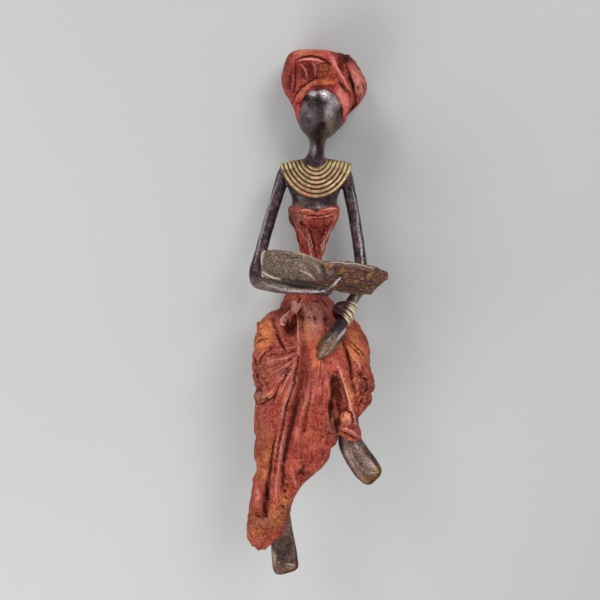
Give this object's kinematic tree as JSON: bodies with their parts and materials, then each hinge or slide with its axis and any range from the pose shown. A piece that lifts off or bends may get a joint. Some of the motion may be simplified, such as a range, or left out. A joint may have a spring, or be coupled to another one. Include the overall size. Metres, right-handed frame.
{
  "type": "seated reading woman bronze figure",
  "caption": "Cast bronze edge-sitting woman in a turban and long wrapped dress, reading an open book, laid on her back.",
  "frame": {"origin": "middle of the figure's box at the floor that she lies on", "axes": "+Y from her hanging feet towards her turban, +X towards her left hand, +Z out of her front, away from the floor"},
  "size_m": [0.0652, 0.2438, 0.0732],
  "materials": {
    "patinated_bronze": "cold-patinated bronze: brick red dress and turban with dark creases, dark brown skin, bare gold collar and bracelets, mottled brown book"
  },
  "bodies": {
    "root": {"reading_woman": "patinated_bronze"}
  },
  "joints": []
}
